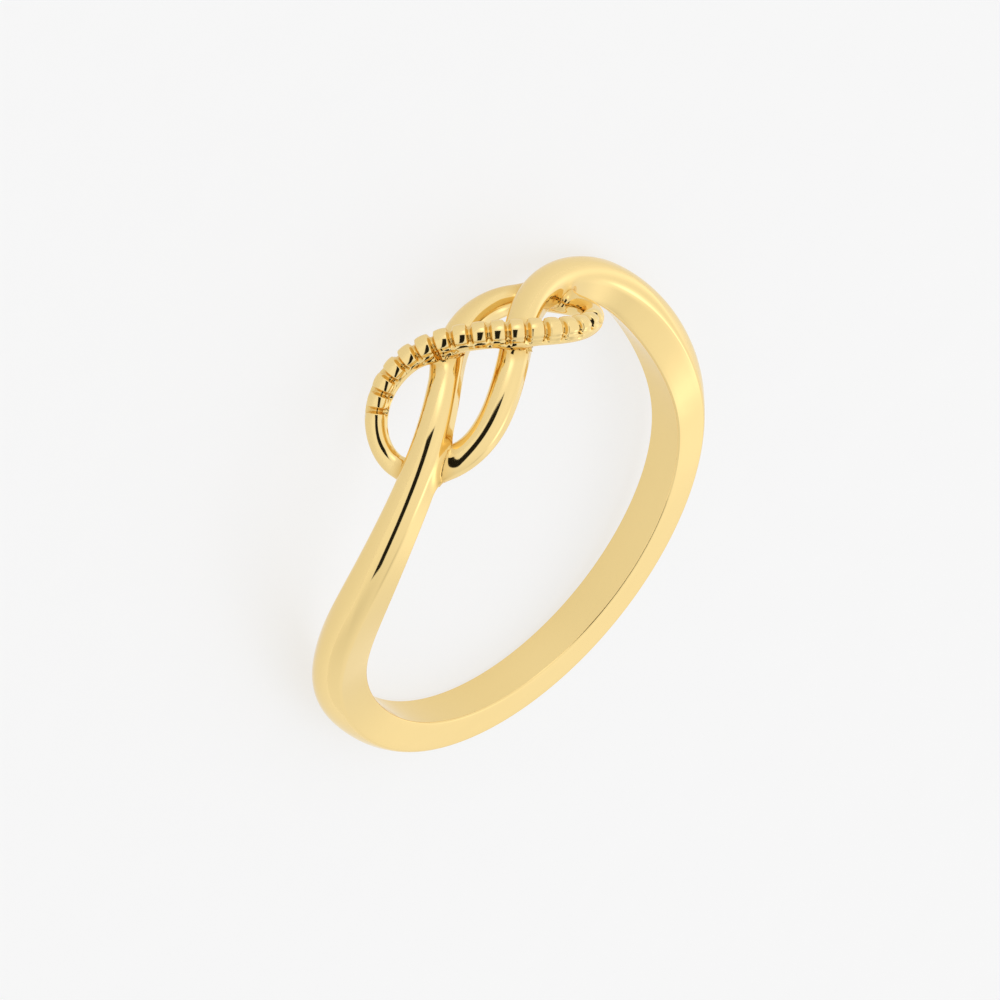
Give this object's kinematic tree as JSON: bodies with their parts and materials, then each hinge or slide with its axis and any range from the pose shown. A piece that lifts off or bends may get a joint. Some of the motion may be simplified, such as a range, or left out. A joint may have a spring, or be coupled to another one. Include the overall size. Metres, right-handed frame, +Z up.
{
  "type": "finger ring",
  "caption": "Polished gold finger ring whose band rises over two shoulders and crosses itself as an infinity sign, with a grooved strand over the middle.",
  "frame": {"origin": "under the middle of the ring's box, on the surface that the ring lies on", "axes": "+Z up from the surface that the ring lies on; +Y from the band's far side towards the head; +X to the right of one who looks down on it with the head ahead"},
  "size_m": [0.0214, 0.0236, 0.0056],
  "materials": {
    "gold": "polished"
  },
  "bodies": {
    "root": {"ring": "gold"}
  },
  "joints": []
}
